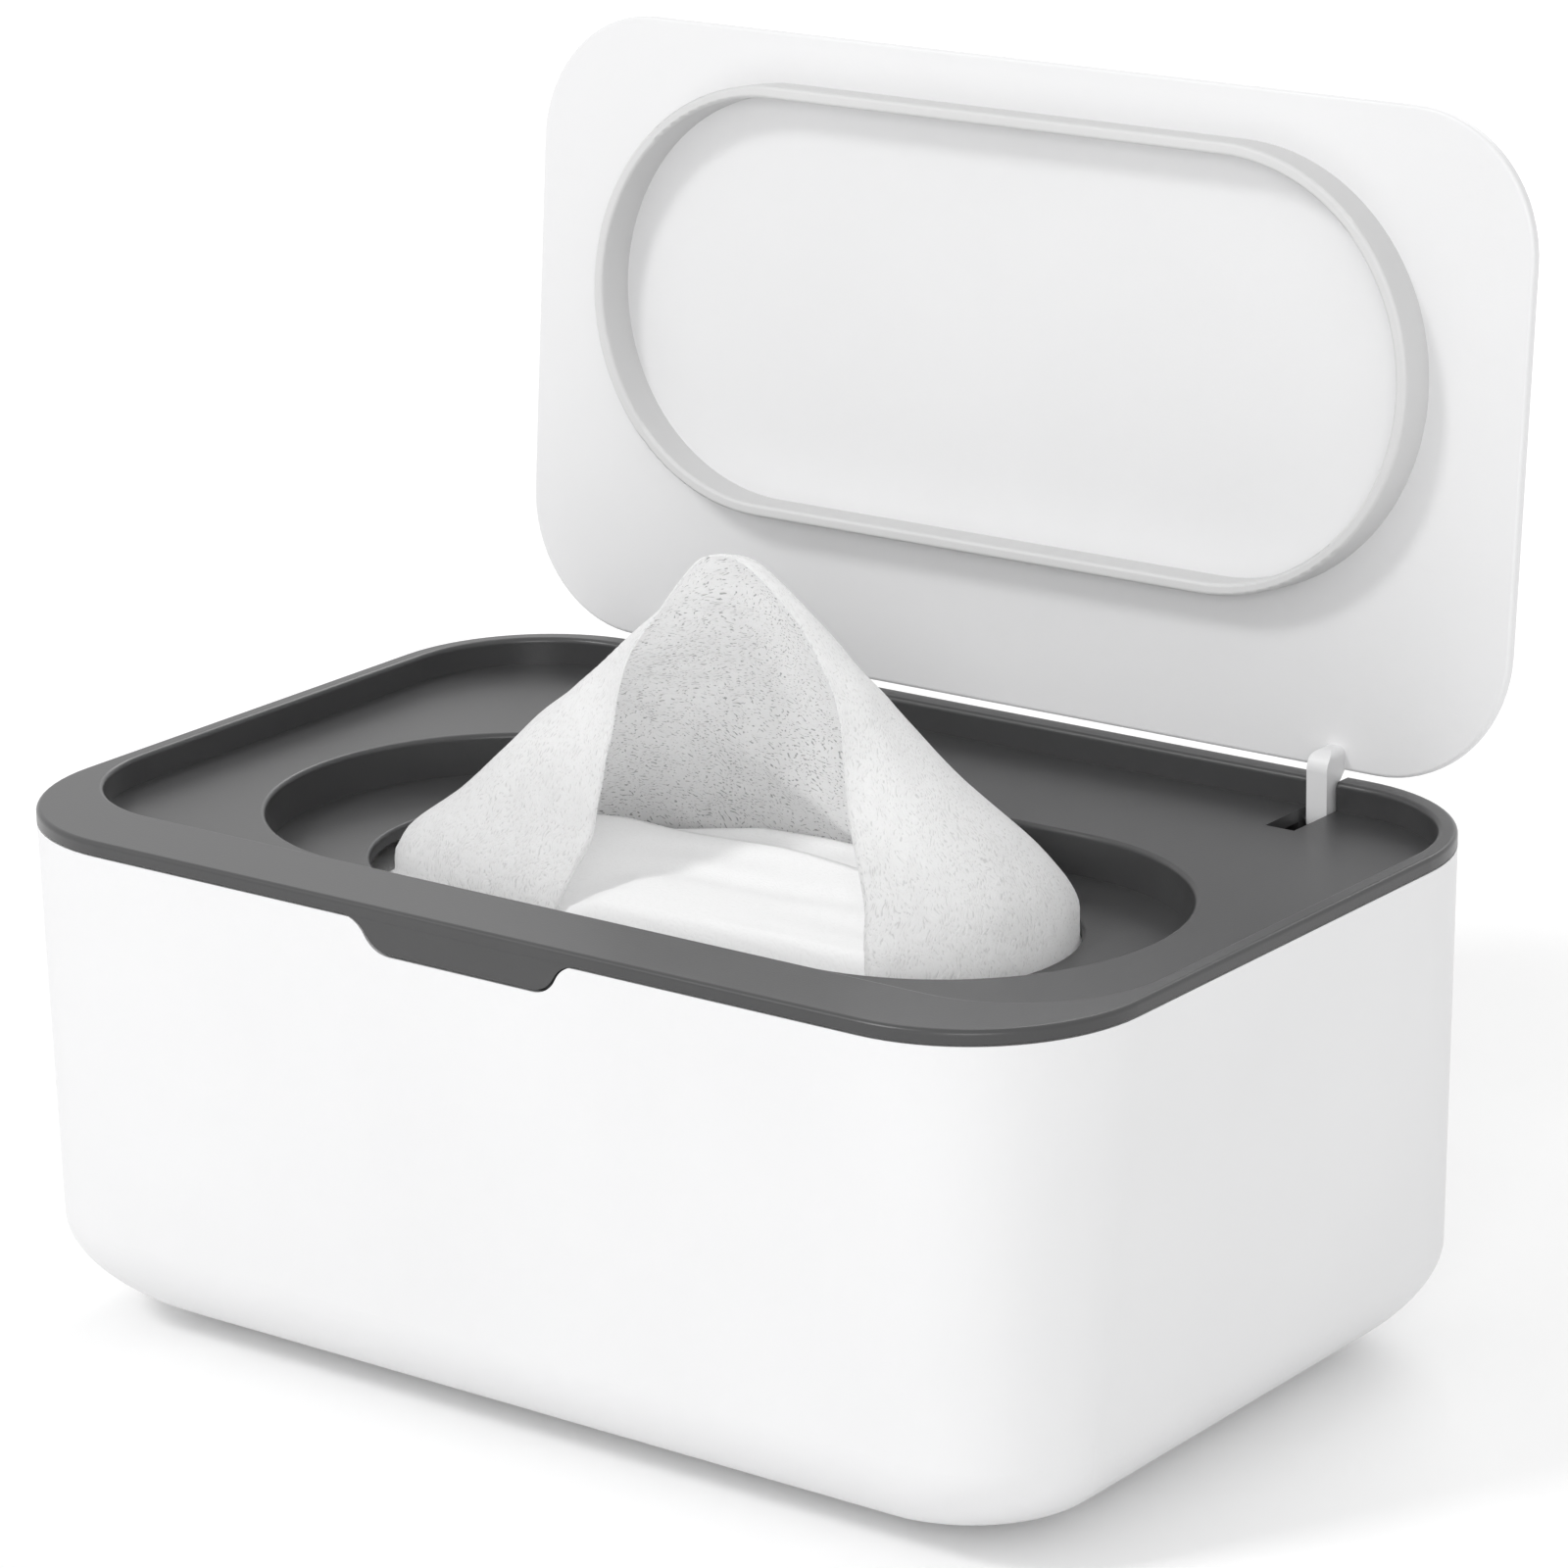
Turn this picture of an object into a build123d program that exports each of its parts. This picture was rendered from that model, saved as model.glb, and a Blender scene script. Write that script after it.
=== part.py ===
"""Wipes dispenser: a drafted box, a lift-off top frame, a hinged lid with a sealing ring,
and the folded wipes inside, one of them pulled up through the opening.

Millimetres. The origin is the centre of the box's floor on the table, +X runs along the
long side to the right, -Y is the front with the grip tab, and +Z is up. The lid is drawn
open, leaning back on its stop.
"""

import os
from math import cos, hypot, radians, sin

from build123d import *

# Box

box_length = 200.0
box_depth = 134.0
frame_top = 84.3
collar_height = 2.1
wall_draft = 4.4
rim_corner = 28.0
wall_foot_corner = 16.0
floor_corner = 20.0
edge_run = 24.0
edge_rise = 17.3
round_steps = 6
box_wall = 2.2
lip_wall = 1.1
lip_depth = 8.0
foot_radius = 6.0
foot_thickness = 1.2
foot_from_end = 44.0
foot_from_side = 42.0
foot_gap = 0.1

# Top frame

seam_gap = 0.3
seat_gap = 0.3
frame_wall = 2.0
plug_wall = 1.8
plug_depth = 7.4
side_rim = 3.1
back_rim = 4.1
front_rim = 14.7
recess_corner = 23.5
recess_depth = 4.6
well_depth = 6.8
ledge_end = 17.95
ledge_side = 10.55
rim_round = 0.8
well_round = 0.8
floor_fillet = 0.7
edge_search = 0.5
level_search = 0.01
tab_drop = 5.0
tab_bottom_width = 26.6
tab_top_width = 44.4
tab_gap = 0.35

# Lid and its sealing ring

lid_end_gap = 1.4
lid_front_gap = 3.7
lid_corner = 22.2
lid_thickness = 2.5
lid_back_round = 1.4
lid_face_round = 0.6
lid_lean = 5.2
lid_back_gap = 7.6
under_gap = 0.3
ring_end_margin = 16.85
ring_low_margin = 25.25
ring_high_margin = 8.15
ring_wall = 2.0
ring_round = 0.6
ring_gap = 1.3
ring_floor_gap = 0.3
rib_wall = 0.8
rib_height = 4.0
rib_gap = 0.1

# Hinge

hinge_from_end = 34.2
hinge_inset = 3.73
hinge_drop = 6.8
pin_radius = 0.9
pin_hold = 2.4
pin_clearance = 0.05
knuckle_radius = 1.9
arm_width = 3.7
arm_root = 3.8
arm_crown = 3.0
arm_corner = 1.2
slot_side_gap = 0.75
slot_end_gap = 0.35
ear_wall = 3.2
ear_round = 2.9

# Wipes

stack_end_gap = 9.0
stack_side_gap = 11.0
stack_corner = 5.0
stack_gap = 0.6
frame_clearance = 1.6
layer_gap = 0.3
next_inset = 2.0
next_thickness = 3.0
next_round = 1.2
sheet_thickness = 1.2
sheet_gap = 1.4
pull_height = 39.7

# The pulled wipe's levels: height as a share of its rise from the opening to the peak, and
# points from its right free edge round the back to its left one, as shares of the opening

sheet_levels = (
    (
        0.0,
        (
            (0.73, -0.93), (0.91, -0.64), (0.99, 0.01), (0.87, 0.67), (0.66, 0.95), (0.0, 1.0),
            (-0.66, 0.95), (-0.87, 0.67), (-0.99, 0.01), (-0.93, -0.43), (-0.79, -0.76),
            (-0.26, -0.9),
        ),
    ),
    (
        0.22,
        (
            (0.64, -0.68), (0.89, -0.48), (0.95, 0.17), (0.56, 0.86), (0.02, 0.92),
            (-0.51, 0.86), (-0.81, 0.29), (-0.69, -0.52), (-0.19, -0.72),
        ),
    ),
    (
        0.45,
        (
            (0.55, -0.5), (0.68, -0.28), (0.69, 0.21), (0.43, 0.7), (0.03, 0.78),
            (-0.36, 0.7), (-0.61, 0.25), (-0.5, -0.28), (-0.18, -0.52),
        ),
    ),
    (
        0.69,
        (
            (0.45, -0.24), (0.47, 0.05), (0.38, 0.37), (0.23, 0.54), (0.07, 0.58),
            (-0.1, 0.54), (-0.25, 0.41), (-0.32, 0.17), (-0.21, -0.22),
        ),
    ),
    (
        0.84,
        (
            (0.29, 0.05), (0.29, 0.17), (0.23, 0.33), (0.15, 0.41), (0.07, 0.46),
            (-0.02, 0.41), (-0.1, 0.33), (-0.16, 0.21), (-0.16, 0.01),
        ),
    ),
    (
        0.98,
        (
            (0.09, 0.09), (0.1, 0.17), (0.08, 0.26), (0.05, 0.3), (0.01, 0.32),
            (-0.02, 0.3), (-0.05, 0.26), (-0.07, 0.17), (-0.06, 0.09),
        ),
    ),
)

# Heights and places that follow from the sizes above

box_top = frame_top - collar_height - seam_gap
collar_bottom = box_top + seam_gap
recess_floor = frame_top - recess_depth
slab_bottom = recess_floor - frame_wall
hinge_x = box_length / 2 - hinge_from_end
foot_x = box_length / 2 - foot_from_end
foot_y = box_depth / 2 - foot_from_side
well_floor = recess_floor - well_depth
plug_bottom = box_top - plug_depth
plug_inset = lip_wall + seat_gap
recess_length = box_length - 2 * side_rim
recess_back = box_depth / 2 - back_rim
recess_front = front_rim - box_depth / 2
recess_width = recess_back - recess_front
recess_y = (recess_back + recess_front) / 2

hinge_y = box_depth / 2 - hinge_inset
hinge_z = frame_top - hinge_drop
slot_width = arm_width + 2 * slot_side_gap

lid_width = recess_length - 2 * lid_end_gap
lid_height = recess_width - lid_back_gap - lid_front_gap
ring_length = lid_width - 2 * ring_end_margin
ring_width = lid_height - ring_low_margin - ring_high_margin
ring_centre_up = ring_low_margin + ring_width / 2

closed_edge_y = recess_back - lid_back_gap
closed_face_z = recess_floor + under_gap
ring_height = well_depth + under_gap - ring_floor_gap
well_y = closed_edge_y - ring_centre_up
well_length = ring_length + 2 * ring_gap
well_width = ring_width + 2 * ring_gap
opening_length = well_length - 2 * ledge_end
opening_width = well_width - 2 * ledge_side

next_top = well_floor - frame_wall - frame_clearance
next_bottom = next_top - next_thickness
stack_top = next_bottom - layer_gap
stack_length = box_length - 2 * stack_end_gap
stack_width = box_depth - 2 * stack_side_gap

# The closed lid's hinge edge, turned about the pins into the open pose

open_turn = radians(-90 - lid_lean)
edge_dy = closed_edge_y - hinge_y
edge_dz = closed_face_z - hinge_z
open_edge_y = hinge_y + edge_dy * cos(open_turn) - edge_dz * sin(open_turn)
open_edge_z = hinge_z + edge_dy * sin(open_turn) + edge_dz * cos(open_turn)
lean = radians(lid_lean)
lid_plane = Plane(
    origin=(0, open_edge_y, open_edge_z), x_dir=(1, 0, 0), z_dir=(0, -cos(lean), sin(lean))
)
lid_normal = Axis((0, 0, 0), (0, -cos(lean), sin(lean)))

# The arm's highest point on the lid sets how far the slots reach forward

arm_top_y = open_edge_y + arm_root * sin(lean)
arm_top_z = open_edge_z + arm_root * cos(lean)
arm_reach = hypot(arm_top_y - hinge_y, arm_top_z - hinge_z)
slot_front = hinge_y - arm_reach - slot_end_gap


def box_plan(height, inset, corner=None):
    """The box's plan at one height, drawn in evenly by inset."""
    drop = (box_top - height) / box_top
    draw = inset + wall_draft * drop
    radius = corner or rim_corner + (wall_foot_corner - rim_corner) * drop - inset
    with BuildSketch(Plane.XY.offset(height)) as plan:
        RectangleRounded(box_length - 2 * draw, box_depth - 2 * draw, radius)
    return plan.sketch


def tub(inset, top):
    """The box's solid, drawn in by inset at its walls and floor."""
    run = edge_run - inset
    rise = edge_rise - inset
    rise_drop = (box_top - edge_rise) / box_top
    wall_corner = rim_corner + (wall_foot_corner - rim_corner) * rise_drop
    sections = []
    for step in range(round_steps + 1):
        angle = radians(90 * step / round_steps)
        height = edge_rise - rise * cos(angle)
        corner = floor_corner + (wall_corner - floor_corner) * sin(angle) - inset
        sections.append(box_plan(height, inset + run * (1 - sin(angle)), corner))
    with BuildPart() as body:
        loft(sections)
        loft([sections[-1], box_plan(top, inset)], ruled=True)
    return body.part


def wall_band(inset, bottom, top):
    """A solid that follows the drafted walls between two heights."""
    with BuildPart() as band:
        loft([box_plan(bottom, inset), box_plan(top, inset)], ruled=True)
    return band.part


def tab_outline(gap):
    """Front view of the grip tab, with its two S-shaped ends, grown by gap."""
    low = collar_bottom - tab_drop - gap
    half_top = tab_top_width / 2 + gap
    half_low = tab_bottom_width / 2 + gap
    with BuildSketch(Plane.XZ) as outline:
        with BuildLine():
            for side in (-1, 1):
                bend = (side * (half_top + half_low) / 2, (collar_bottom + low) / 2)
                TangentArc((side * half_top, collar_bottom), bend, tangent=(-side, 0))
                TangentArc((side * half_low, low), bend, tangent=(side, 0))
            Line((-half_low, low), (half_low, low))
            Polyline(
                (-half_top, collar_bottom),
                (-half_top, frame_top),
                (half_top, frame_top),
                (half_top, collar_bottom),
            )
        make_face()
    return outline.sketch


def front_prism(outline, depth):
    """A front-view outline carried from in front of the box back to a given depth."""
    with BuildPart() as prism:
        extrude(outline, amount=box_depth)
        with BuildSketch(Plane.XY.offset(plug_bottom)) as front_zone:
            with Locations((0, -box_depth + depth)):
                Rectangle(box_length, box_depth)
        extrude(front_zone.sketch, amount=frame_top, mode=Mode.INTERSECT)
    return prism.part


def hinge_ears(side):
    """The block under the recess floor that holds one pin, kept inside the plug's wall."""
    with BuildPart() as block:
        with BuildSketch(Plane.YZ.offset(side * hinge_x - slot_width / 2 - ear_wall)):
            with Locations((hinge_y, hinge_z)):
                Circle(ear_round)
            with Locations((hinge_y, (hinge_z + recess_floor) / 2)):
                Rectangle(2 * ear_round, recess_floor - hinge_z)
        extrude(amount=slot_width + 2 * ear_wall)
        add(wall_band(plug_inset, plug_bottom, recess_floor), mode=Mode.INTERSECT)
    return block.part


def hinge_arm(side):
    """One goose-neck arm, from its knuckle on the pin to the lid's face."""
    middle = side * hinge_x
    front = hinge_y - knuckle_radius
    back = hinge_y + knuckle_radius
    with BuildPart() as arm:
        with BuildSketch(Plane.YZ.offset(middle - arm_width / 2)) as profile:
            with BuildLine():
                Polyline(
                    (front, hinge_z),
                    (front, arm_top_z),
                    (arm_top_y, arm_top_z),
                    (open_edge_y, open_edge_z),
                    (back, open_edge_z - (open_edge_y - back)),
                    (back, hinge_z),
                    close=True,
                )
            make_face()
            crown = profile.vertices().group_by(Axis.Y)[-1].sort_by(Axis.X)[0]
            fillet(crown, arm_crown)
            with Locations((hinge_y, hinge_z)):
                Circle(knuckle_radius)
        extrude(amount=arm_width)
        with BuildSketch(Plane.XZ.offset(-box_depth)) as strap:
            with Locations((middle, hinge_z)):
                Circle(arm_width / 2)
            with Locations((middle, (hinge_z + arm_top_z) / 2)):
                Rectangle(arm_width, arm_top_z - hinge_z)
            fillet(strap.vertices().group_by(Axis.Z)[-1], arm_corner)
        extrude(amount=2 * box_depth, mode=Mode.INTERSECT)
        with BuildSketch(Plane.YZ.offset(middle - arm_width / 2)):
            with Locations((hinge_y, hinge_z)):
                Circle(pin_radius + pin_clearance)
        extrude(amount=arm_width, mode=Mode.SUBTRACT)
    return arm.part


def fold_section(height, shares):
    """A thin band that runs round the back from one free edge of the wipe to the other."""
    outer = [
        Vector(across * sheet_half_length, well_y + along * sheet_half_width)
        for across, along in shares
    ]
    neighbours = zip(outer[:1] + outer[:-1], outer[1:] + outer[-1:])
    runs = [(after - before).normalized() for before, after in neighbours]
    inner = [
        spot + Vector(-run.Y, run.X) * sheet_thickness
        for spot, run in zip(outer, runs)
    ]
    with BuildSketch(Plane.XY.offset(height)) as band:
        with BuildLine():
            Spline(*outer)
            Line(outer[-1], inner[-1])
            Spline(*reversed(inner))
            Line(inner[0], outer[0])
        make_face()
    return band.sketch


os.makedirs("parts", exist_ok=True)

# Box: drafted walls, a rounded floor edge, a thin lip for the frame and a notch for the tab

foot_places = {
    "front_left": (-foot_x, -foot_y),
    "front_right": (foot_x, -foot_y),
    "back_left": (-foot_x, foot_y),
    "back_right": (foot_x, foot_y),
}

with BuildPart() as base_box:
    add(tub(0, box_top))
    add(tub(box_wall, box_top), mode=Mode.SUBTRACT)
    add(wall_band(lip_wall, box_top - lip_depth, box_top), mode=Mode.SUBTRACT)
    add(front_prism(tab_outline(tab_gap), plug_inset), mode=Mode.SUBTRACT)
    with BuildSketch(Plane.XY):
        with Locations(*foot_places.values()):
            Circle(foot_radius + foot_gap)
    extrude(amount=foot_thickness, mode=Mode.SUBTRACT)
base_box.part.label = "base_box"
export_step(base_box.part, "parts/base_box.step")

for place, (foot_at_x, foot_at_y) in foot_places.items():
    with BuildPart() as foot_pad:
        with BuildSketch(Plane.XY):
            with Locations((foot_at_x, foot_at_y)):
                Circle(foot_radius)
        extrude(amount=foot_thickness)
    foot_pad.part.label = f"foot_pad_{place}"
    export_step(foot_pad.part, f"parts/foot_pad_{place}.step")

# Top frame: collar and plug, lid recess, round-ended well and opening, grip tab, hinge ears

ears = [hinge_ears(side) for side in (-1, 1)]

with BuildPart() as top_frame:
    extrude(box_plan(box_top, 0).moved(Location((0, 0, seam_gap))), amount=collar_height)
    add(wall_band(plug_inset, plug_bottom, collar_bottom))
    hollow_inset = plug_inset + plug_wall
    add(wall_band(hollow_inset, plug_bottom, slab_bottom), mode=Mode.SUBTRACT)
    with BuildSketch(Plane.XY.offset(slab_bottom)) as rim_hollow:
        add(box_plan(slab_bottom, hollow_inset))
        with Locations((0, recess_front - frame_wall - box_depth / 2)):
            Rectangle(box_length, box_depth, mode=Mode.INTERSECT)
    extrude(amount=recess_depth, mode=Mode.SUBTRACT)
    add(wall_band(0, plug_bottom, collar_bottom) & front_prism(tab_outline(0), plug_inset))
    with BuildSketch(Plane.XY.offset(recess_floor)):
        with Locations((0, recess_y)):
            RectangleRounded(recess_length, recess_width, recess_corner)
    extrude(amount=recess_depth, mode=Mode.SUBTRACT)
    with BuildSketch(Plane.XY.offset(well_floor - frame_wall)):
        with Locations((0, well_y)):
            SlotOverall(well_length + 2 * frame_wall, well_width + 2 * frame_wall)
    extrude(amount=well_depth + frame_wall)
    with BuildSketch(Plane.XY.offset(well_floor)):
        with Locations((0, well_y)):
            SlotOverall(well_length, well_width)
    extrude(amount=well_depth, mode=Mode.SUBTRACT)
    with BuildSketch(Plane.XY.offset(well_floor - frame_wall)):
        with Locations((0, well_y)):
            SlotOverall(opening_length, opening_width)
    extrude(amount=frame_wall, mode=Mode.SUBTRACT)
    fillet(top_frame.edges().group_by(Axis.Z)[-1], rim_round)
    for level, span_x, span_y, bend in (
        (recess_floor, well_length, well_width, well_round),
        (well_floor, opening_length, opening_width, floor_fillet),
    ):
        mouth = top_frame.edges().filter_by_position(
            Axis.Z, level - level_search, level + level_search
        )
        mouth = mouth.filter_by(
            lambda e: abs(e.center().X) < span_x / 2 + edge_search
            and abs(e.center().Y - well_y) < span_y / 2 + edge_search
        )
        fillet(mouth, bend)
    add(ears)
    with BuildSketch(Plane.XY.offset(plug_bottom)):
        slot_y = (slot_front + box_depth) / 2
        with Locations((-hinge_x, slot_y), (hinge_x, slot_y)):
            Rectangle(slot_width, box_depth - slot_front)
    extrude(amount=frame_top, mode=Mode.SUBTRACT)
    for side in (-1, 1):
        with BuildSketch(Plane.YZ.offset(side * hinge_x - slot_width / 2 - pin_hold)):
            with Locations((hinge_y, hinge_z)):
                Circle(pin_radius)
        extrude(amount=slot_width + 2 * pin_hold, mode=Mode.SUBTRACT)
top_frame.part.label = "top_frame"
export_step(top_frame.part, "parts/top_frame.step")

for name, side in (("hinge_pin_left", -1), ("hinge_pin_right", 1)):
    with BuildPart() as hinge_pin:
        with BuildSketch(Plane.YZ.offset(side * hinge_x - slot_width / 2 - pin_hold)):
            with Locations((hinge_y, hinge_z)):
                Circle(pin_radius)
        extrude(amount=slot_width + 2 * pin_hold)
    hinge_pin.part.label = name
    export_step(hinge_pin.part, f"parts/{name}.step")

# Lid: a thin plate with a rib for the ring and two arms, drawn on its open plane

rib_length = ring_length - ring_wall + rib_wall
rib_width = ring_width - ring_wall + rib_wall
arms = [hinge_arm(side) for side in (-1, 1)]

with BuildPart() as lid:
    with BuildSketch(lid_plane.offset(-lid_thickness)):
        with Locations((0, lid_height / 2)):
            RectangleRounded(lid_width, lid_height, lid_corner)
    extrude(amount=lid_thickness)
    fillet(lid.faces().sort_by(lid_normal)[0].edges(), lid_back_round)
    fillet(lid.faces().sort_by(lid_normal)[-1].edges(), lid_face_round)
    with BuildSketch(lid_plane):
        with Locations((0, ring_centre_up)):
            SlotOverall(rib_length, rib_width)
            SlotOverall(rib_length - 2 * rib_wall, rib_width - 2 * rib_wall, mode=Mode.SUBTRACT)
    extrude(amount=rib_height)
    add(arms)
lid.part.label = "lid"
export_step(lid.part, "parts/lid.step")

# Sealing ring: a soft wall that grips the lid's rib and drops into the well

with BuildPart() as lid_seal:
    with BuildSketch(lid_plane):
        with Locations((0, ring_centre_up)):
            SlotOverall(ring_length, ring_width)
            SlotOverall(ring_length - 2 * ring_wall, ring_width - 2 * ring_wall, mode=Mode.SUBTRACT)
    extrude(amount=ring_height)
    fillet(lid_seal.faces().sort_by(lid_normal)[-1].edges(), ring_round)
    groove_out = 2 * rib_gap
    groove_in = 2 * (rib_wall + rib_gap)
    with BuildSketch(lid_plane):
        with Locations((0, ring_centre_up)):
            SlotOverall(rib_length + groove_out, rib_width + groove_out)
            SlotOverall(rib_length - groove_in, rib_width - groove_in, mode=Mode.SUBTRACT)
    extrude(amount=rib_height + rib_gap, mode=Mode.SUBTRACT)
lid_seal.part.label = "lid_seal"
export_step(lid_seal.part, "parts/lid_seal.step")

# Wipes: the folded pile settles into the rounded floor, the next wipe lies on it

with BuildPart() as wipe_stack:
    with BuildSketch(Plane.XY):
        RectangleRounded(stack_length, stack_width, stack_corner)
    extrude(amount=stack_top)
    add(tub(box_wall + stack_gap, box_top), mode=Mode.INTERSECT)
wipe_stack.part.label = "wipe_stack"
export_step(wipe_stack.part, "parts/wipe_stack.step")

with BuildPart() as next_wipe:
    with BuildSketch(Plane.XY.offset(next_bottom)):
        RectangleRounded(stack_length - 2 * next_inset, stack_width - 2 * next_inset, stack_corner)
    extrude(amount=next_thickness)
    fillet(next_wipe.edges().group_by(Axis.Z)[-1], next_round)
next_wipe.part.label = "next_wipe"
export_step(next_wipe.part, "parts/next_wipe.step")

# Pulled wipe: a thin sheet gathered to a peak, standing round the opening's ends and back

sheet_bottom = next_top + layer_gap
sheet_rise = frame_top + pull_height - well_floor
sheet_half_length = opening_length / 2 - sheet_gap
sheet_half_width = opening_width / 2 - sheet_gap

with BuildPart() as pulled_wipe:
    loft(
        [fold_section(sheet_bottom, sheet_levels[0][1])]
        + [
            fold_section(well_floor + share * sheet_rise, points)
            for share, points in sheet_levels
        ],
        ruled=True,
    )
pulled_wipe.part.label = "pulled_wipe"
export_step(pulled_wipe.part, "parts/pulled_wipe.step")
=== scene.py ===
# %% [markdown]
# # A wipes dispenser with its lid open
#
# This lesson dresses a small plastic box for moist wipes. The solid parts come from the
# CAD model, already in their places and in metres. Each cell adds one finish or one piece:
# the camera and the light, the moulded plastics, the silicone, the steel pins, and then
# the soft wipes, which no CAD solid can show well.

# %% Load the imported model
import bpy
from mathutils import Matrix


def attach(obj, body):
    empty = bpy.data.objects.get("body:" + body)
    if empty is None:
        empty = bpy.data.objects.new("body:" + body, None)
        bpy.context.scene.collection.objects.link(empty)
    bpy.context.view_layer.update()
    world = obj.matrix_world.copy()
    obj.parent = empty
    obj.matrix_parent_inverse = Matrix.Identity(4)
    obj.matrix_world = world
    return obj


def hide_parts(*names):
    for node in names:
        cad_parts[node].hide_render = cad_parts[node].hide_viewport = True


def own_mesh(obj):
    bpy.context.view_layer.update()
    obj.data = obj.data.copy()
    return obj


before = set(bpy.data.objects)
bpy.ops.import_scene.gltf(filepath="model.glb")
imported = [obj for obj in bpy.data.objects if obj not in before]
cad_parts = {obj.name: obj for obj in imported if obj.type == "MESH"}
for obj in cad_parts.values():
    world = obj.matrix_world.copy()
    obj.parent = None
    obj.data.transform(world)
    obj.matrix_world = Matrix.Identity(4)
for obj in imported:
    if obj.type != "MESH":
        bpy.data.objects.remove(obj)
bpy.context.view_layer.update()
print("nodes:", sorted(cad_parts))

# %% Modules used below
import math
from math import cos, pi, radians, sin

import bmesh
import bpy
from mathutils import Matrix, Vector, noise

mm = 0.001
scene = bpy.context.scene

# %% [markdown]
# ## Camera
#
# A product photograph is usually taken with a long lens from a metre or so away, so that
# the upright edges stay nearly parallel. The camera here stands to the right of the front
# and a little above the lid's hinge. Placing it by azimuth, elevation and distance is
# easier to read than a bare matrix, and the small roll tips the picture as the photograph's
# is tipped.

# %% Camera from its angles and distance
view_azimuth = radians(37.402)
view_elevation = radians(17.216)
view_roll = radians(-1.115)
view_distance = 957.33 * mm
view_lens = 139.64
aim_right = 5.54 * mm
aim_up = 84.61 * mm

back = Vector((
    sin(view_azimuth) * cos(view_elevation),
    -cos(view_azimuth) * cos(view_elevation),
    sin(view_elevation),
))
level_right = Vector((cos(view_azimuth), sin(view_azimuth), 0))
level_up = back.cross(level_right)
right = level_right * cos(view_roll) + level_up * sin(view_roll)
up = level_up * cos(view_roll) - level_right * sin(view_roll)

camera_data = bpy.data.cameras.new("camera")
camera_data.lens = view_lens
camera_data.sensor_width = 36
camera = bpy.data.objects.new("camera", camera_data)
scene.collection.objects.link(camera)
place = back * view_distance + right * aim_right + up * aim_up
turn = Matrix((right, up, back)).transposed().to_4x4()
camera.matrix_world = Matrix.Translation(place) @ turn
scene.camera = camera
print("camera at", [round(v, 3) for v in place])

# %% [markdown]
# ## Light
#
# White things on white need gentle light. A small lamp high on the left makes the box's
# front the brightest wall and draws the ring's shadow on the lid. A wide one low on the
# right in front shines under the arch of the pulled wipe, and one above and behind comes
# through its thin cloth. The world lifts the rest. The view transform is Standard, so what
# is rendered can be set against the colour that is written. The right wall comes out about
# as written. The front wall comes out about a fifth brighter, so the lamps are stronger
# than a plain level, and the whites below are written darker to keep it from burning out.

# %% Rays that see the white surroundings
def seen_rays(tree):
    """1 for camera, glossy and transmission rays, 0 for the rays that light things."""
    path = tree.nodes.new("ShaderNodeLightPath")
    total = path.outputs["Is Camera Ray"]
    for kind in ("Is Glossy Ray", "Is Transmission Ray"):
        more = tree.nodes.new("ShaderNodeMath")
        more.operation = "MAXIMUM"
        tree.links.new(total, more.inputs[0])
        tree.links.new(path.outputs[kind], more.inputs[1])
        total = more.outputs["Value"]
    return total


# %% View transform and world
world_light = 0.7
scene.view_settings.view_transform = "Standard"
world = bpy.data.worlds.new("studio")
scene.world = world
world.use_nodes = True
sky = world.node_tree
sky.nodes.clear()
sky_out = sky.nodes.new("ShaderNodeOutputWorld")
sky_mix = sky.nodes.new("ShaderNodeMixShader")
sky_light = sky.nodes.new("ShaderNodeBackground")
sky_seen = sky.nodes.new("ShaderNodeBackground")
sky_light.inputs["Color"].default_value = (1, 1, 1, 1)
sky_light.inputs["Strength"].default_value = world_light
sky_seen.inputs["Color"].default_value = (1, 1, 1, 1)
sky_seen.inputs["Strength"].default_value = 1.0
sky.links.new(seen_rays(sky), sky_mix.inputs["Fac"])
sky.links.new(sky_light.outputs["Background"], sky_mix.inputs[1])
sky.links.new(sky_seen.outputs["Background"], sky_mix.inputs[2])
sky.links.new(sky_mix.outputs["Shader"], sky_out.inputs["Surface"])
print("world light:", world_light, "seen as:", sky_seen.inputs["Strength"].default_value)

# %% Soft lamps
lamp_aim = Vector((0, 0, 0.08))


def soft_lamp(name, place, size, power):
    """A rectangle of light, in metres and watts, turned towards the box's rim."""
    data = bpy.data.lights.new(name, "AREA")
    data.shape = "RECTANGLE"
    data.size, data.size_y = size
    data.energy = power
    lamp = bpy.data.objects.new(name, data)
    scene.collection.objects.link(lamp)
    lamp.location = place
    lamp.rotation_euler = (lamp_aim - Vector(place)).to_track_quat("-Z", "Y").to_euler()


soft_lamp("key_lamp", (-1.1, -1.9, 2.3), (0.6, 0.6), 27.0)
soft_lamp("back_lamp", (-0.6, 2.4, 2.0), (1.8, 1.2), 24.0)
soft_lamp("front_lamp", (1.55, -2.4, 1.0), (1.2, 0.8), 19.0)

# %% [markdown]
# ## Floor
#
# The table is a plain pale sheet that keeps the object's soft shadow. Part of its
# brightness is its own glow, which only the camera, reflections and transmission see, so
# that it adds no diffuse light. It grows with the distance from the box: the shadow stays
# full where the box stands, and the sheet runs into the white background without a line.

# %% Floor
def principled(material):
    material.use_nodes = True
    return material.node_tree.nodes["Principled BSDF"]


glow_distance = (0.2, 1.6)
glow_strength = (0.06, 0.5)


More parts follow.
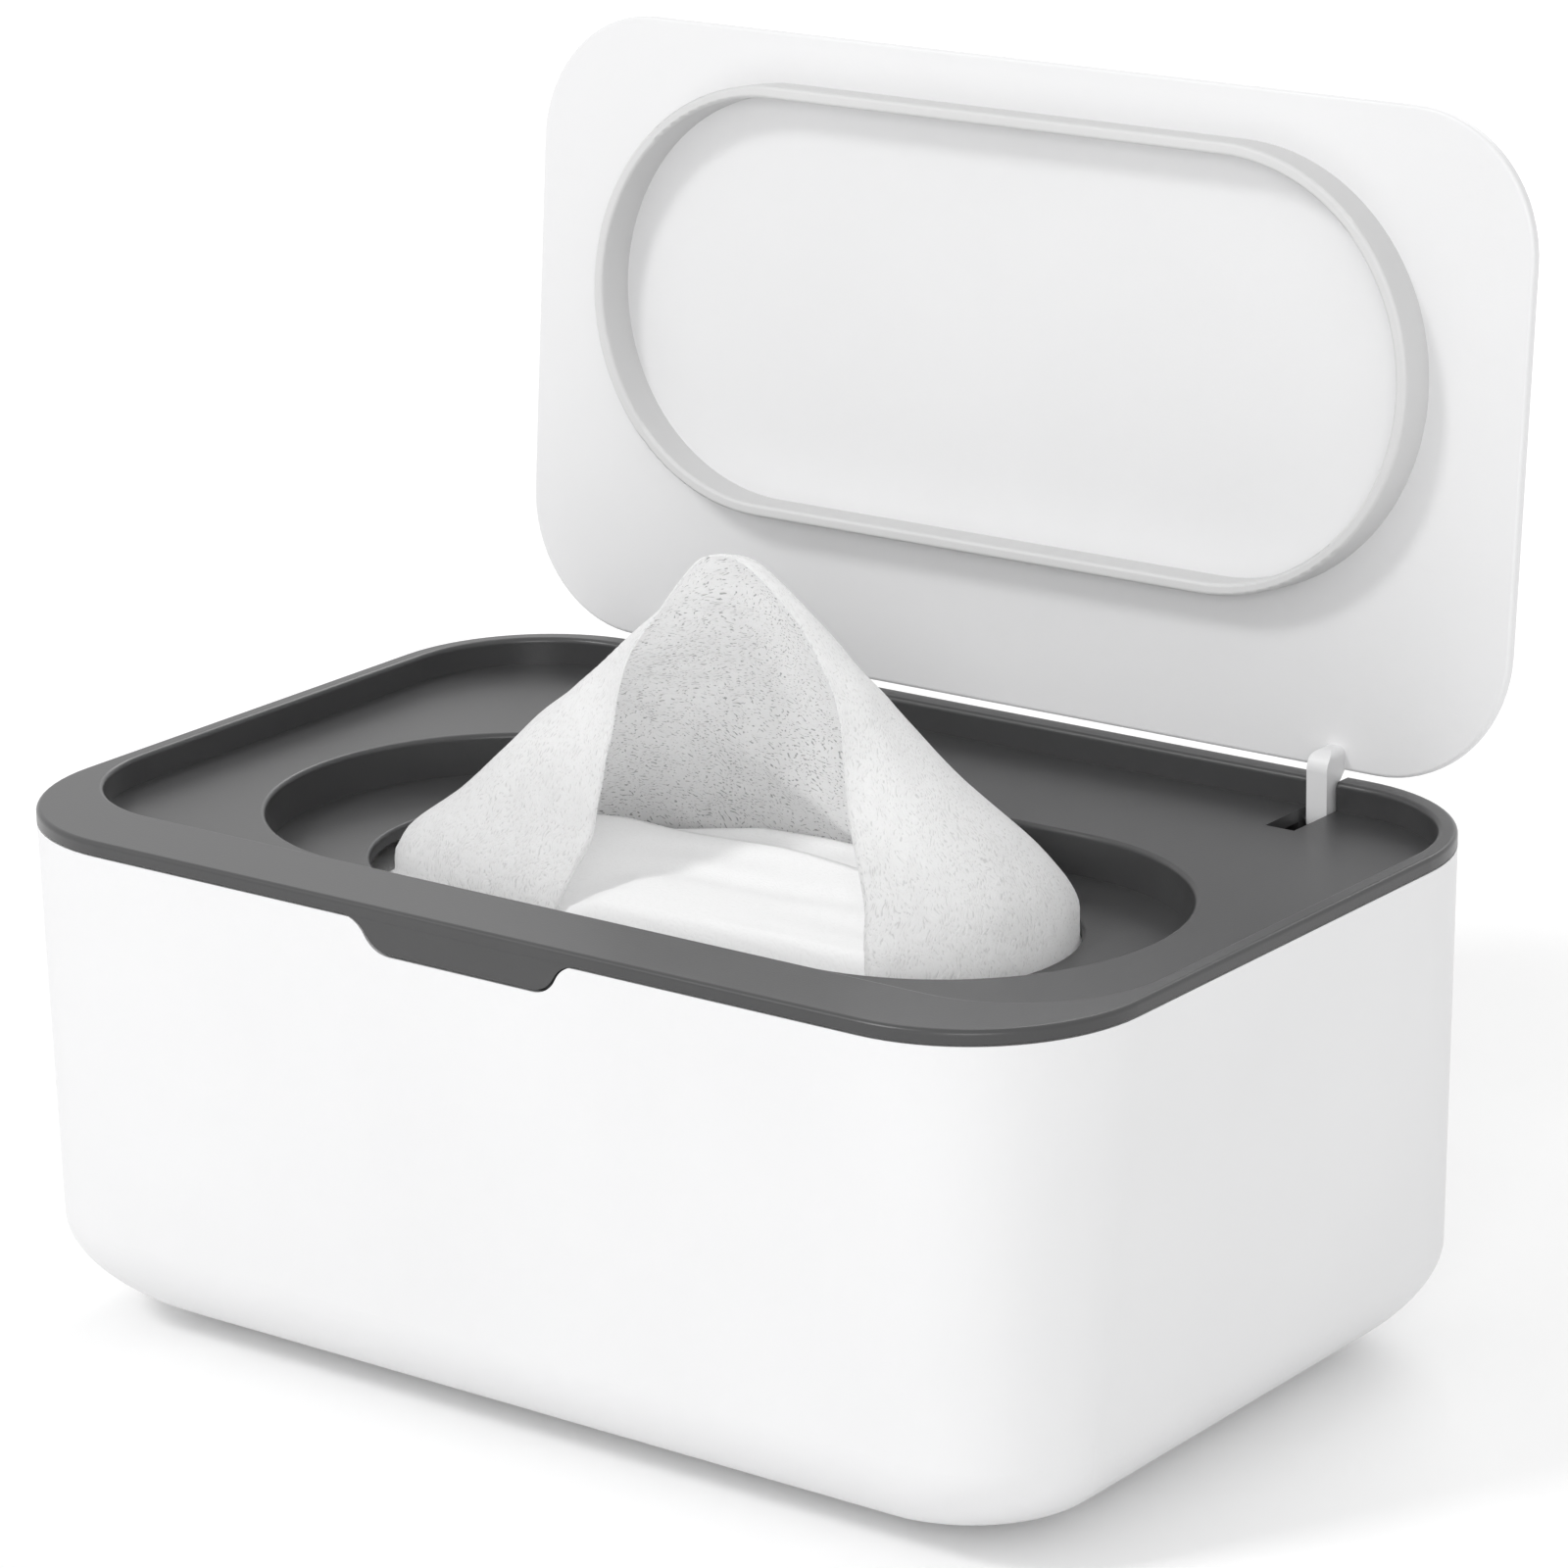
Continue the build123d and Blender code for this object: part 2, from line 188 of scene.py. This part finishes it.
def pale_floor():
    material = bpy.data.materials.new("pale_floor")
    material.use_nodes = True
    tree = material.node_tree
    tree.nodes.clear()
    out = tree.nodes.new("ShaderNodeOutputMaterial")
    matte = tree.nodes.new("ShaderNodeBsdfDiffuse")
    matte.inputs["Color"].default_value = (0.95, 0.95, 0.95, 1)
    glow = tree.nodes.new("ShaderNodeEmission")
    glow.inputs["Color"].default_value = (1, 1, 1, 1)
    place = tree.nodes.new("ShaderNodeTexCoord")
    distance = tree.nodes.new("ShaderNodeVectorMath")
    distance.operation = "LENGTH"
    growing = tree.nodes.new("ShaderNodeMapRange")
    growing.inputs["From Min"].default_value = glow_distance[0]
    growing.inputs["From Max"].default_value = glow_distance[1]
    growing.inputs["To Min"].default_value = glow_strength[0]
    growing.inputs["To Max"].default_value = glow_strength[1]
    strength = tree.nodes.new("ShaderNodeMath")
    strength.operation = "MULTIPLY"
    tree.links.new(place.outputs["Object"], distance.inputs[0])
    tree.links.new(distance.outputs["Value"], growing.inputs["Value"])
    tree.links.new(growing.outputs["Result"], strength.inputs[1])
    both = tree.nodes.new("ShaderNodeAddShader")
    tree.links.new(seen_rays(tree), strength.inputs[0])
    tree.links.new(strength.outputs["Value"], glow.inputs["Strength"])
    tree.links.new(matte.outputs["BSDF"], both.inputs[0])
    tree.links.new(glow.outputs["Emission"], both.inputs[1])
    tree.links.new(both.outputs["Shader"], out.inputs["Surface"])
    return material


floor_mesh = bpy.data.meshes.new("floor")
sheet = bmesh.new()
bmesh.ops.create_grid(sheet, x_segments=1, y_segments=1, size=6)
sheet.to_mesh(floor_mesh)
sheet.free()
floor = bpy.data.objects.new("floor", floor_mesh)
scene.collection.objects.link(floor)
floor_mesh.materials.append(pale_floor())
print("floor in metres:", [round(size, 1) for size in floor.dimensions])

# %% [markdown]
# ## Moulded plastic
#
# The box and the lid are white injection-moulded plastic with a satin skin: a faint spark
# texture breaks the highlight, and the gloss varies a little from place to place. A noise
# with grains of about 0.4 mm drives the bump, and a slow one drives the roughness and a
# slight drift of the colour. The silicone and the steel pins are made the same way.

# %% Helper for a moulded skin
def add_node(tree, kind, **values):
    node = tree.nodes.new(kind)
    for name, value in values.items():
        if name in node.inputs:
            node.inputs[name].default_value = value
        else:
            setattr(node, name, value)
    return node


def moulded(name, dark, light, rough, grain_scale, grain_height):
    """A plastic whose colour drifts from dark to light, with a fine moulded grain."""
    material = bpy.data.materials.new(name)
    skin = principled(material)
    tree = material.node_tree
    place = add_node(tree, "ShaderNodeTexCoord")
    slow = add_node(tree, "ShaderNodeTexNoise", Scale=22.0, Detail=3.0)
    fine = add_node(tree, "ShaderNodeTexNoise", Scale=grain_scale, Detail=2.0)
    tint = add_node(tree, "ShaderNodeValToRGB")
    tint.color_ramp.elements[0].color = (*dark, 1)
    tint.color_ramp.elements[0].position = 0.3
    tint.color_ramp.elements[1].color = (*light, 1)
    tint.color_ramp.elements[1].position = 0.7
    gloss = add_node(tree, "ShaderNodeMapRange")
    gloss.inputs["To Min"].default_value = rough - 0.03
    gloss.inputs["To Max"].default_value = rough + 0.03
    bump = add_node(tree, "ShaderNodeBump", Strength=grain_height, Distance=0.0001)
    for texture in (slow, fine):
        tree.links.new(place.outputs["Object"], texture.inputs["Vector"])
    tree.links.new(slow.outputs["Fac"], tint.inputs["Fac"])
    tree.links.new(tint.outputs["Color"], skin.inputs["Base Color"])
    tree.links.new(slow.outputs["Fac"], gloss.inputs["Value"])
    tree.links.new(gloss.outputs["Result"], skin.inputs["Roughness"])
    tree.links.new(fine.outputs["Fac"], bump.inputs["Height"])
    tree.links.new(bump.outputs["Normal"], skin.inputs["Normal"])
    skin.inputs["IOR"].default_value = 1.49
    return material


white_shell = moulded(
    "white_shell_plastic", (0.775, 0.775, 0.78), (0.795, 0.795, 0.80), 0.4, 2600, 0.12
)
grey_frame = moulded(
    "grey_frame_plastic", (0.047, 0.047, 0.048), (0.055, 0.055, 0.056), 0.32, 3000, 0.15
)
# The ring is white silicone. Its colour is written grey here: painted shade for the darker
# look of the translucent ring.
ring_skin_painted_shade = moulded(
    "ring_silicone_painted_shade", (0.63, 0.63, 0.63), (0.66, 0.66, 0.66), 0.5, 2200, 0.1
)
foot_skin = moulded("foot_silicone", (0.5, 0.5, 0.51), (0.56, 0.56, 0.57), 0.6, 1800, 0.3)
pin_metal = moulded("pin_steel", (0.5, 0.5, 0.52), (0.6, 0.6, 0.62), 0.25, 4000, 0.1)
principled(pin_metal).inputs["Metallic"].default_value = 1.0
skins = (white_shell, grey_frame, ring_skin_painted_shade, foot_skin, pin_metal)
print("finishes:", [skin.name for skin in skins])

# %% Finishes on the CAD pieces
def paint(node, material):
    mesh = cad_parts[node].data
    mesh.materials.clear()
    mesh.materials.append(material)


for node in ("base_box", "lid"):
    paint(node, white_shell)
paint("top_frame", grey_frame)
paint("lid_seal", ring_skin_painted_shade)
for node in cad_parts:
    if node.startswith("foot_pad"):
        paint(node, foot_skin)
    if node.startswith("hinge_pin"):
        paint(node, pin_metal)
for node in sorted(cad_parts):
    print(node, [skin.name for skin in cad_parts[node].data.materials if skin])

# %% [markdown]
# ## Nonwoven cloth
#
# A wipe is a thin mat of short fibres, pressed and tangled by water jets. Close up it
# shows many small curved dashes. One face is pressed against a patterned drum, so there the
# dashes are deep, and the other face is nearly smooth. The pattern is drawn on the sheet's
# own UV map, which is its flat size in metres, so that it follows every fold: a stretched
# noise cut at a level gives the dashes, and a slow one makes them denser here and there.
#
# A single wipe is so thin that light comes through it, which is why the hollow of the
# real tent is nearly as pale as its outside. A translucent shader beside the plain one
# brings the hollow closer to that. The wipes of the pile lie too thick for it.

# %% Nonwoven material
dashes_per_metre = (1300, 3400, 1)
dash_turn = 0.5
dash_bend = 0.0034
dash_height = 0.00025
dash_edge = (0.06, 0.05)
patch_swing = 0.06
fuzz_share = 0.35


def nonwoven(name, pale, shaded, cover, dash_depth, light_through):
    """Cloth of short pressed fibres; light_through is the translucent shader's share."""
    material = bpy.data.materials.new(name)
    skin = principled(material)
    tree = material.node_tree
    flat_place = add_node(tree, "ShaderNodeUVMap", uv_map="flat_cloth")
    bend = add_node(tree, "ShaderNodeTexNoise", Scale=240.0, Detail=1.0)
    bend_small = add_node(tree, "ShaderNodeVectorMath", operation="SCALE", Scale=dash_bend)
    shifted = add_node(tree, "ShaderNodeVectorMath", operation="ADD")
    longer = add_node(tree, "ShaderNodeMapping")
    longer.inputs["Scale"].default_value = dashes_per_metre
    longer.inputs["Rotation"].default_value = (0, 0, dash_turn)
    dashes = add_node(tree, "ShaderNodeTexNoise", Scale=1.0, Detail=1.0, Roughness=0.5)
    patches = add_node(tree, "ShaderNodeTexNoise", Scale=70.0, Detail=2.0)
    level = add_node(tree, "ShaderNodeMapRange")
    level.inputs["To Min"].default_value = -patch_swing
    level.inputs["To Max"].default_value = patch_swing
    both = add_node(tree, "ShaderNodeMath", operation="ADD")
    cut = add_node(tree, "ShaderNodeValToRGB")
    cut.color_ramp.elements[0].position = cover - dash_edge[0]
    cut.color_ramp.elements[0].color = (*shaded, 1)
    cut.color_ramp.elements[1].position = cover + dash_edge[1]
    cut.color_ramp.elements[1].color = (*pale, 1)
    fuzz = add_node(tree, "ShaderNodeTexNoise", Scale=3200.0, Detail=2.0)
    height = add_node(tree, "ShaderNodeMath", operation="MULTIPLY_ADD")
    height.inputs[1].default_value = fuzz_share
    bump = add_node(tree, "ShaderNodeBump", Strength=dash_depth, Distance=dash_height)
    link = tree.links.new
    link(flat_place.outputs["UV"], bend.inputs["Vector"])
    link(bend.outputs["Color"], bend_small.inputs[0])
    link(flat_place.outputs["UV"], shifted.inputs[0])
    link(bend_small.outputs["Vector"], shifted.inputs[1])
    link(shifted.outputs["Vector"], longer.inputs["Vector"])
    link(longer.outputs["Vector"], dashes.inputs["Vector"])
    link(flat_place.outputs["UV"], patches.inputs["Vector"])
    link(patches.outputs["Fac"], level.inputs["Value"])
    link(dashes.outputs["Fac"], both.inputs[0])
    link(level.outputs["Result"], both.inputs[1])
    link(both.outputs["Value"], cut.inputs["Fac"])
    link(cut.outputs["Color"], skin.inputs["Base Color"])
    link(flat_place.outputs["UV"], fuzz.inputs["Vector"])
    link(fuzz.outputs["Fac"], height.inputs[0])
    link(both.outputs["Value"], height.inputs[2])
    link(height.outputs["Value"], bump.inputs["Height"])
    link(bump.outputs["Normal"], skin.inputs["Normal"])
    skin.inputs["Roughness"].default_value = 0.85
    skin.inputs["Sheen Weight"].default_value = 0.1
    if light_through > 0:
        through = add_node(tree, "ShaderNodeBsdfTranslucent")
        mixed = add_node(tree, "ShaderNodeMixShader", Fac=light_through)
        link(cut.outputs["Color"], through.inputs["Color"])
        link(bump.outputs["Normal"], through.inputs["Normal"])
        link(skin.outputs["BSDF"], mixed.inputs[1])
        link(through.outputs["BSDF"], mixed.inputs[2])
        out = tree.nodes["Material Output"]
        link(mixed.outputs["Shader"], out.inputs["Surface"])
    return material


# %% The faces of the wipes
smooth_face = nonwoven(
    "wipe_smooth_face", (1.0, 1.0, 1.0), (0.84, 0.84, 0.84), 0.38, 0.65, 0.45
)
pressed_face = nonwoven(
    "wipe_pressed_face", (1.0, 1.0, 1.0), (0.50, 0.50, 0.50), 0.37, 0.65, 0.65
)
damp_face = nonwoven(
    "wipe_damp_face", (0.97, 0.97, 0.97), (0.94, 0.94, 0.94), 0.42, 0.2, 0.0
)
print("wipe faces:", [m.name for m in (smooth_face, pressed_face, damp_face)])

# %% [markdown]
# ## The pulled wipe
#
# The wipe was pulled up by the middle of its front edge, so it stands like a small tent: a
# soft tip, a panel behind, and two legs that wrap round the ends of the opening. The two
# halves of the front edge run down from the tip to the left and to the right foot. Held at
# one point, a flat sheet forms a cone, and that is how it is made here: a flat grid of the
# wipe's full size, whose every point keeps its distance from the tip and its direction on
# the sheet. What hasn't been pulled out yet lies on the pile, under the frame, with its
# hems turned in.

# %% Level curves of the tent, in millimetres
# Each level runs from the right free edge round the back to the left free edge.
tip = Vector((-0.5, -1.2, 125.0))
tent_levels = {
    124.2: [
        (4.6, -2.2), (4.6, -0.8), (3.9, 0.6), (2.6, 1.5), (0.6, 1.8),
        (-1.4, 1.4), (-2.9, 0.6), (-3.9, -0.8), (-4.2, -2.0),
    ],
    121.0: [
        (10.4, -3.2), (10.4, -1.0), (8.4, 1.6), (5.8, 3.2), (2, 3.8),
        (-2, 3.2), (-4.8, 1.6), (-7.0, -0.8), (-7.0, -3.2),
    ],
    116.0: [
        (18.2, -5.6), (17.8, -1.6), (14, 2.6), (9, 4.8), (3.6, 5.6),
        (-2, 4.8), (-7, 3), (-11.3, -0.5), (-9.6, -5.6),
    ],
    108.0: [
        (28.3, -11.8), (28.8, -4.6), (23, 3.6), (14, 7.6), (4, 8.8),
        (-6, 8), (-15, 5), (-20.6, -1.5), (-12.2, -11.4),
    ],
    96.0: [
        (34.4, -18), (42, -12), (41.0, 0), (26, 11.5), (2, 13.5),
        (-21, 11.5), (-34, 2), (-30, -12), (-10.4, -18),
    ],
    84.0: [
        (40.2, -22.6), (54.5, -14.5), (55, 3), (40, 15), (1, 17.5),
        (-28, 16), (-43.5, 3), (-41, -17), (-10.6, -22),
    ],
    78.0: [
        (42.6, -25.6), (58.0, -15.5), (58.8, 4.2), (44, 17.2), (0.5, 18.8),
        (-34, 17.8), (-51, 0), (-48, -20), (-12.8, -25),
    ],
    73.4: [
        (44.6, -28), (59.6, -15), (59.4, 4.2), (45, 17.6), (0, 19.6),
        (-37, 18.6), (-55.5, -1), (-50, -22), (-13.8, -27.6),
    ],
}
print("levels of the tent:", len(tent_levels), "below a tip at", tuple(tip))

# %% Helpers: a smooth curve through points, and the tent's surface
def smooth_at(points, where):
    """A Catmull-Rom curve through points, with where from 0 to the last point's number."""
    last = len(points) - 1
    number = min(int(where), last - 1)
    part = where - number
    before = points[max(number - 1, 0)]
    start, end = points[number], points[number + 1]
    after = points[min(number + 2, last)]
    if number == 0:
        before = start * 2 - end
    if number == last - 1:
        after = end * 2 - start
    return 0.5 * (
        start * 2
        + (end - before) * part
        + (before * 2 - start * 5 + end * 4 - after) * part**2
        + (start * 3 - before - end * 3 + after) * part**3
    )


def column(around, steps=54):
    """The line from the tip to the foot at one place round the tent, in even steps."""
    through = [tip]
    for height, ring in tent_levels.items():
        ring_points = [Vector((x, y, height)) for x, y in ring]
        through.append(smooth_at(ring_points, around * (len(ring) - 1)))
    line = [smooth_at(through, (len(through) - 1) * i / steps) for i in range(steps + 1)]
    lengths = [0.0]
    for a, b in zip(line, line[1:]):
        lengths.append(lengths[-1] + (b - a).length)
    return line, lengths


column_last = 180
columns = [column(i / column_last) for i in range(column_last + 1)]


def flat_angles():
    """How far round the flat sheet each column starts, from the right edge, to pi."""
    angles = [0.0]
    for (line_a, _), (line_b, _) in zip(columns, columns[1:]):
        a, b = (line_a[-1] - tip).normalized(), (line_b[-1] - tip).normalized()
        angles.append(angles[-1] + a.angle(b))
    print("flat angle of the tent in degrees:", round(angles[-1] * 180 / pi, 1))
    return [a * pi / angles[-1] for a in angles]


angles = flat_angles()
print("foot distances:", [round(lengths[-1], 1) for _, lengths in columns[::30]])


# %% The opening and the pile below it, in millimetres
wipe_width = 178.0
wipe_length = 170.0
under_frame = 70.2
pile_half = (87.0, 53.0)
opening_middle_y = -5.2
foot_oval = 2.2
hem_step = 0.35
sag_fades_in = 8
sag_depth = 4.5
sag_from = -50
sag_run = 12


def ease(share):
    """From 0 to 1 with a soft start and a soft end."""
    share = max(0, min(1, share))
    return share * share * (3 - 2 * share)


def sag(x):
    """How much lower the pile lies towards its left end."""
    return sag_depth * ease((sag_from - x) / sag_run)


# %% Where a point of the flat wipe goes
def on_column(number, distance):
    """A point down the tent, or below its foot and then outwards over the pile."""
    line, lengths = columns[number]
    if distance <= lengths[-1]:
        low = max(i for i in range(len(lengths)) if lengths[i] <= distance)
        low = min(low, len(line) - 2)
        part = (distance - lengths[low]) / (lengths[low + 1] - lengths[low])
        return line[low].lerp(line[low + 1], part)
    foot = line[-1]
    away = Vector((foot.x / foot_oval, foot.y - opening_middle_y, 0)).normalized()
    beyond = distance - lengths[-1]
    drop = min(beyond, foot.z - under_frame)
    spot = foot + away * (beyond - drop)
    spot.z -= drop + sag(spot.x) * min(1, beyond / sag_fades_in)
    for axis in (0, 1):
        over = abs(spot[axis]) - pile_half[axis]
        if over > 0:
            spot[axis] -= 2 * over * (1 if spot[axis] > 0 else -1)
            spot.z -= hem_step
    return spot


def draped(across, along):
    """The place in space of the flat wipe's point (across, along), in millimetres."""
    distance = Vector((across, along)).length
    turned = Vector((across, along)).angle(Vector((1, 0))) if distance > 1e-6 else 0
    number = max(i for i, angle in enumerate(angles) if angle <= turned + 1e-9)
    number = min(number, column_last - 1)
    part = (turned - angles[number]) / (angles[number + 1] - angles[number])
    return on_column(number, distance).lerp(on_column(number + 1, distance), part)


# %% [markdown]
# The real sheet isn't a perfect cone. A crease crosses the back panel where the wipe was
# folded, and the cloth ripples a little. Both are small pushes on the draped points: the
# crease forward along one line, soft above it and sharp below, and the ripples by a slow
# noise that fades at the tip.

# %% Crease and ripples
crease_start = Vector((-21.0, 14.0, 93.0))
crease_end = Vector((14.0, 17.5, 78.0))
crease_up = Vector((0.4, 0, 0.92))
crease_height = 4.6
crease_soft_side = 9.0
crease_sharp_side = 3.0
crease_least = 0.3
back_panel_from = 5
tip_fade_from, tip_fade_run = 124, 18
foot_fade_from, foot_fade_run = 71, 6
wide_ripple, small_ripple = 17, 6
wide_push, small_push = 0.9, 0.35
print("crease length in millimetres:", round((crease_end - crease_start).length, 1))


def crease_push(spot):
    """How far the crease stands forward of the back panel at a place, in millimetres."""
    run = crease_end - crease_start
    share = (spot - crease_start).dot(run) / run.length_squared
    nearest = crease_start + run * max(-0.15, min(1.1, share))
    off = (spot - nearest).length
    above = (spot - nearest).dot(crease_up) > 0
    width = crease_soft_side if above else crease_sharp_side
    along = crease_least + (1 - crease_least) * max(0, min(1, share))
    return crease_height * math.exp(-((off / width) ** 2)) * along


def ripple(spot, size, seed):
    """A slow noise from about -1 to 1 whose waves are size millimetres long."""
    return noise.noise(Vector((spot.x / size, spot.y / size, spot.z / size + seed)))


def softened(spot):
    """A draped point with its crease and ripples, which fade at the tip and the foot."""
    if spot.y > back_panel_from:
        spot.y -= crease_push(spot)
    below_tip = max(0, min(1, (tip_fade_from - spot.z) / tip_fade_run))
    above_foot = max(0, min(1, (spot.z - foot_fade_from) / foot_fade_run))
    outward = Vector((spot.x, spot.y - opening_middle_y, 0)).normalized()
    wide = wide_push * ripple(spot, wide_ripple, 3.1)
    small = small_push * ripple(spot, small_ripple, 8.7)
    return spot + outward * (below_tip * above_foot) * (wide + small)


# %% Drape the flat grid
def cloth_grid(name, width, length, spacing_x, spacing_y):
    """A flat sheet, with a UV map that is its own flat size in metres."""
    work = bmesh.new()
    uv = work.loops.layers.uv.new("flat_cloth")
    bmesh.ops.create_grid(
        work, x_segments=int(width / spacing_x), y_segments=int(length / spacing_y), size=0.5
    )
    bmesh.ops.scale(work, vec=(width, length, 1), verts=work.verts)
    for face in work.faces:
        for loop in face.loops:
            loop[uv].uv = (loop.vert.co.x * mm, loop.vert.co.y * mm)
    mesh = bpy.data.meshes.new(name)
    return work, mesh


def finish_cloth(name, work, mesh, thickness, outer, inner):
    """A thin closed cloth with a finish for its outer and one for its inner face."""
    for face in work.faces:
        face.smooth = True
    work.to_mesh(mesh)
    work.free()
    mesh.materials.append(outer)
    mesh.materials.append(inner)
    piece = bpy.data.objects.new(name, mesh)
    scene.collection.objects.link(piece)
    solid = piece.modifiers.new("cloth_thickness", "SOLIDIFY")
    solid.thickness = thickness * mm
    solid.offset = 0
    solid.use_even_offset = False
    solid.material_offset = 1
    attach(piece, "base")
    return piece


work, mesh = cloth_grid("pulled_wipe_cloth", wipe_width, wipe_length, 1.3, 1.3)
for vert in work.verts:
    vert.co = softened(draped(vert.co.x, vert.co.y + wipe_length / 2)) * mm
pulled = finish_cloth("pulled_wipe_cloth", work, mesh, 0.25, smooth_face, pressed_face)
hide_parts("pulled_wipe")
print("pulled wipe:", len(mesh.polygons), "faces")

# %% [markdown]
# ## The next wipe
#
# Under the tent's arch lies the next wipe, folded once so that its cut edge shows as a soft
# line. The pull has drawn it up into the opening as a low mound with a few ridges from left
# to right. It is the same flat sheet: one run forward over the pile, a fold at the front
# and a shorter run back. A height table of the mound lifts both layers together.

# %% The mound in the opening, in millimetres
opening_half = 36.0
opening_radius = 26.0
rim_gap = 1.4
rise_run = 4.5
least_rise = 1.6
mound_across = (-62, -44, -37, -28, -19, -7, 6, 30, 50, 62)
mound_back = (0, 0.2, 1.4, 3.6, 5.2, 7.4, 8.2, 8.0, 5.0, 1.0)
mound_middle = (0, 2.0, 4.2, 5.3, 5.6, 6.4, 7.2, 7.6, 5.5, 1.5)
mound_front = (0, 0, 0, 0, 0.6, 4.8, 5.2, 5.4, 4.6, 1.5)
mound_middle_y, mound_back_run = 8, 8
mound_front_y, mound_front_run = -24, 30


def between(places, values, where):
    """Straight interpolation in a small table."""
    for a, b, low, high in zip(places, places[1:], values, values[1:]):
        if where <= b:
            part = max(0, (where - a) / (b - a))
            return low + (high - low) * part
    return values[-1]


def mound(x, y):
    """How high the cloth stands above the pile at a place."""
    beyond = max(abs(x) - opening_half, 0)
    inside = opening_radius - math.hypot(beyond, y - opening_middle_y)
    rise = ease((inside - rim_gap) / rise_run)
    if rise == 0:
        return 0
    back = between(mound_across, mound_back, x)
    middle = between(mound_across, mound_middle, x)
    front = between(mound_across, mound_front, x)
    if y > mound_middle_y:
        height = middle + (back - middle) * ease((y - mound_middle_y) / mound_back_run)
    else:
        height = front + (middle - front) * ease((y - mound_front_y) / mound_front_run)
    return rise * (least_rise + height)


print("mound at its middle:", round(mound(6, 16), 2), round(mound(0, 0), 2))

# %% Fold and lay the next wipe
next_front = -54.0
next_back = 54.0
next_low = 67.0
layer_step = 2.2
fold_skew = 0.14
skew_reach = 62
ridge_share = 0.14
ridge_long, ridge_wide = 55, 7


def on_folded(x, s, y_back, y_front, low, step, skew=0.0):
    """A sheet's point after one fold: x across, s along from the back hem."""
    run = y_back - y_front
    turn = step / 2
    arc = pi * turn
    if s <= run:
        return Vector((x, y_back - s, low))
    if s <= run + arc:
        angle = (s - run) / turn
        return Vector((x, y_front - turn * sin(angle), low + turn - turn * cos(angle)))
    back_by = s - run - arc
    return Vector((x, y_front + back_by * (1 - skew * x / skew_reach), low + step))


work, mesh = cloth_grid("next_wipe_cloth", wipe_width, wipe_length, 2.0, 1.1)
for vert in work.verts:
    from_hem = vert.co.y + wipe_length / 2
    spot = on_folded(
        vert.co.x, from_hem, next_back, next_front, next_low, layer_step, fold_skew
    )
    lift = mound(spot.x, spot.y)
    ridges = noise.noise(Vector((spot.x / ridge_long, spot.y / ridge_wide, 4.2)))
    spot.z += lift + ridge_share * lift * ridges - sag(spot.x)
    vert.co = spot * mm
next_cloth = finish_cloth("next_wipe_cloth", work, mesh, 0.4, damp_face, damp_face)
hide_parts("next_wipe")
print("next wipe:", len(mesh.polygons), "faces")

# %% [markdown]
# ## The pile
#
# The wipes below are folded the same way, with every second one turned round, so that the
# pile stays level. The lowest ones settle into the box's rounded floor and the upper ones
# lie flatter. Each is a sheet of its own, built with a coarser grid because only its edges
# show when the frame is lifted off.

# %% The box's rounded floor inside, in millimetres
floor_low = 3.4
floor_run = 21.2
floor_rise = 14.5
wall_half = (93.6, 60.6)


def floor_height(x, y):
    """How high the floor stands at a place, next to the box's curved inner edge."""
    off_x = 1 - (wall_half[0] - abs(x)) / floor_run
    off_y = 1 - (wall_half[1] - abs(y)) / floor_run
    off = min(0.97, math.hypot(max(off_x, 0), max(off_y, 0)))
    return floor_low + floor_rise * (1 - (1 - off * off) ** 0.5)


# %% Lay the pile
pile_count = 26
pile_top = 66.0
pile_fold = 52.5
pile_step = 1.05
most_slide = (1.1, 1.2)
wave_height = 0.12
wave_long, wave_wide = 30, 18
print("one wipe of the pile takes", round((pile_top - floor_low) / pile_count, 2), "mm")
for number in range(1, pile_count + 1):
    name = f"pile_wipe_{number:02d}"
    share = 1 - number / pile_count
    turned = -1 if number % 2 else 1
    work, mesh = cloth_grid(name, wipe_width, wipe_length, 7.0, 2.4)
    slide_x = most_slide[0] * ripple(Vector((number, 0, 0)), 1.7, 5.3)
    slide_y = most_slide[1] * ripple(Vector((0, number, 0)), 1.3, 2.9)
    for vert in work.verts:
        from_hem = vert.co.y + wipe_length / 2
        spot = on_folded(vert.co.x, from_hem, pile_fold, -pile_fold, 0, pile_step)
        low = floor_height(spot.x, spot.y)
        top = pile_top - sag(spot.x)
        wave_at = Vector((spot.x / wave_long, spot.y / wave_wide, number * 0.7))
        wave = wave_height * noise.noise(wave_at)
        spot.z = (spot.z + 0.5) * (top - low) / (pile_top - floor_low) + wave
        spot.z += low + (top - low) * share
        spot.x += slide_x
        spot.y = turned * (spot.y + slide_y)
        vert.co = spot * mm
    if turned < 0:
        bmesh.ops.reverse_faces(work, faces=work.faces)
    pile_wipe = finish_cloth(name, work, mesh, 0.7, damp_face, damp_face)
    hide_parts("wipe_stack")
print("pile:", pile_count, "wipes")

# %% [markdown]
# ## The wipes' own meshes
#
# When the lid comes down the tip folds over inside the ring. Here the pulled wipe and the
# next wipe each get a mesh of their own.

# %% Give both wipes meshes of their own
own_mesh(pulled)
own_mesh(next_cloth)
